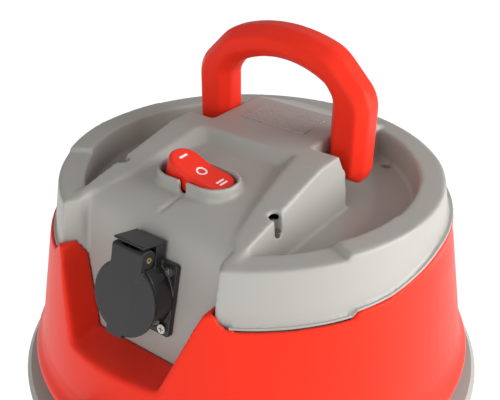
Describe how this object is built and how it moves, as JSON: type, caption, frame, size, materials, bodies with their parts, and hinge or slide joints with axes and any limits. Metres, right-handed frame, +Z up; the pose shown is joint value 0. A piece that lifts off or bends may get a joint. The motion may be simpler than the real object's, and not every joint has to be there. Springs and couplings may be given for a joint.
{
  "type": "shop vacuum",
  "caption": "Wet and dry shop vacuum: round power head with arched handle, rocker switch and flap-covered socket, latched on a wheeled tank.",
  "frame": {"origin": "on the floor, under the middle of the bounding box, which is the tank's axis", "axes": "+X right seen from the front, -Y front (socket and hose inlet), +Z up"},
  "size_m": [0.344, 0.362, 0.578],
  "materials": {
    "red_plastic": "fine-grain satin moulding",
    "grey_plastic": "fine-grain satin moulding",
    "black_plastic": "satin",
    "black_gloss": "semi-gloss",
    "inner_plastic": "plain moulding",
    "label_film": "thin satin film",
    "mark_white": "inlaid marks",
    "zinc_steel": "zinc-plated",
    "brass": "plain",
    "copper": "enamelled winding",
    "lamination": "stacked sheets",
    "carbon": "pressed carbon",
    "alu": "pressed sheet",
    "can_steel": "pressed sheet",
    "rubber": "soft moulding",
    "foam": "open-cell foam",
    "filter_fabric": "pleated fleece",
    "board": "coated board",
    "tread": "hard rubber"
  },
  "bodies": {
    "tank": {"tank": "grey_plastic", "hose_inlet": "black_plastic", "inlet_screws": "zinc_steel", "caster_base": "inner_plastic", "caster_base_screws": "zinc_steel", "latch_pins": "zinc_steel"},
    "head": {"top_cap": "grey_plastic", "skirt": "red_plastic", "handle": "red_plastic", "handle_screws": "zinc_steel", "cap_screws": "zinc_steel", "rating_label": "label_film", "switch_body": "black_plastic", "socket_body": "black_plastic", "socket_contacts": "brass", "socket_screws": "zinc_steel", "lid_pin": "brass", "lid_spring": "zinc_steel", "cord_gland": "rubber", "control_board": "board", "exhaust_grille": "black_plastic", "exhaust_foam": "foam", "motor_mounts": "rubber", "fan_housing": "can_steel", "stator_core": "lamination", "field_windings": "copper", "brush_holders": "black_plastic", "carbon_brushes": "carbon", "bearing_bracket": "alu", "bearings": "zinc_steel", "diffuser": "inner_plastic", "base_plate": "inner_plastic", "base_screws": "zinc_steel", "head_gasket": "rubber", "float_cage": "inner_plastic"},
    "rotor": {"motor_shaft": "zinc_steel", "armature": "lamination", "commutator": "copper", "impeller": "alu", "cooling_fan": "inner_plastic"},
    "rocker": {"rocker": "red_plastic", "rocker_marks": "mark_white"},
    "lid": {"socket_lid": "black_plastic"},
    "filter": {"filter_sleeve": "filter_fabric", "filter_ring": "rubber"},
    "float": {"float_ball": "inner_plastic"},
    "latch_front": {"latch_front": "black_plastic"},
    "latch_back": {"latch_back": "black_plastic"},
    "caster_fork_front_left": {"caster_fork_front_left": "inner_plastic", "caster_axle_front_left": "zinc_steel"},
    "caster_wheel_front_left": {"caster_wheel_front_left": "tread"},
    "caster_fork_front_right": {"caster_fork_front_right": "inner_plastic", "caster_axle_front_right": "zinc_steel"},
    "caster_wheel_front_right": {"caster_wheel_front_right": "tread"},
    "caster_fork_rear_left": {"caster_fork_rear_left": "inner_plastic", "caster_axle_rear_left": "zinc_steel"},
    "caster_wheel_rear_left": {"caster_wheel_rear_left": "tread"},
    "caster_fork_rear_right": {"caster_fork_rear_right": "inner_plastic", "caster_axle_rear_right": "zinc_steel"},
    "caster_wheel_rear_right": {"caster_wheel_rear_right": "tread"}
  },
  "joints": [
    {"name": "head_lift", "type": "slide", "parent": "tank", "child": "head", "axis": [0, 0, 1], "range_m": [0, 0.3]},
    {"name": "latch_front_flip", "type": "hinge", "parent": "tank", "child": "latch_front", "pos_m": [0, -0.176, 0.33], "axis": [1, 0, 0], "range_deg": [0, 75]},
    {"name": "latch_back_flip", "type": "hinge", "parent": "tank", "child": "latch_back", "pos_m": [0, 0.176, 0.33], "axis": [-1, 0, 0], "range_deg": [0, 75]},
    {"name": "rotor_spin", "type": "hinge", "parent": "head", "child": "rotor", "pos_m": [0, 0, 0.43], "axis": [0, 0, 1], "continuous": true},
    {"name": "rocker_tilt", "type": "hinge", "parent": "head", "child": "rocker", "pos_m": [-0.003, -0.053, 0.497], "axis": [0, 1, 0], "range_deg": [-32, 0]},
    {"name": "lid_flip", "type": "hinge", "parent": "head", "child": "lid", "pos_m": [0, -0.11771, 0.47876], "axis": [-1, 0, 0], "range_deg": [0, 95], "stiffness_Nm_per_rad": 0.01, "springref_deg": -51.57},
    {"name": "filter_slide", "type": "slide", "parent": "head", "child": "filter", "axis": [0, 0, -1], "range_m": [0, 0.1]},
    {"name": "float_lift", "type": "slide", "parent": "head", "child": "float", "axis": [0, 0, 1], "range_m": [0, 0.0565]},
    {"name": "swivel_front_left", "type": "hinge", "parent": "tank", "child": "caster_fork_front_left", "pos_m": [-0.112, -0.112, 0.05], "axis": [0, 0, 1], "continuous": true},
    {"name": "roll_front_left", "type": "hinge", "parent": "caster_fork_front_left", "child": "caster_wheel_front_left", "pos_m": [-0.12261, -0.12261, 0.02], "axis": [0.7071, -0.7071, 0], "continuous": true},
    {"name": "swivel_front_right", "type": "hinge", "parent": "tank", "child": "caster_fork_front_right", "pos_m": [0.112, -0.112, 0.05], "axis": [0, 0, 1], "continuous": true},
    {"name": "roll_front_right", "type": "hinge", "parent": "caster_fork_front_right", "child": "caster_wheel_front_right", "pos_m": [0.12261, -0.12261, 0.02], "axis": [0.7071, 0.7071, 0], "continuous": true},
    {"name": "swivel_rear_left", "type": "hinge", "parent": "tank", "child": "caster_fork_rear_left", "pos_m": [-0.112, 0.112, 0.05], "axis": [0, 0, 1], "continuous": true},
    {"name": "roll_rear_left", "type": "hinge", "parent": "caster_fork_rear_left", "child": "caster_wheel_rear_left", "pos_m": [-0.12261, 0.12261, 0.02], "axis": [-0.7071, -0.7071, 0], "continuous": true},
    {"name": "swivel_rear_right", "type": "hinge", "parent": "tank", "child": "caster_fork_rear_right", "pos_m": [0.112, 0.112, 0.05], "axis": [0, 0, 1], "continuous": true},
    {"name": "roll_rear_right", "type": "hinge", "parent": "caster_fork_rear_right", "child": "caster_wheel_rear_right", "pos_m": [0.12261, 0.12261, 0.02], "axis": [-0.7071, 0.7071, 0], "continuous": true}
  ]
}
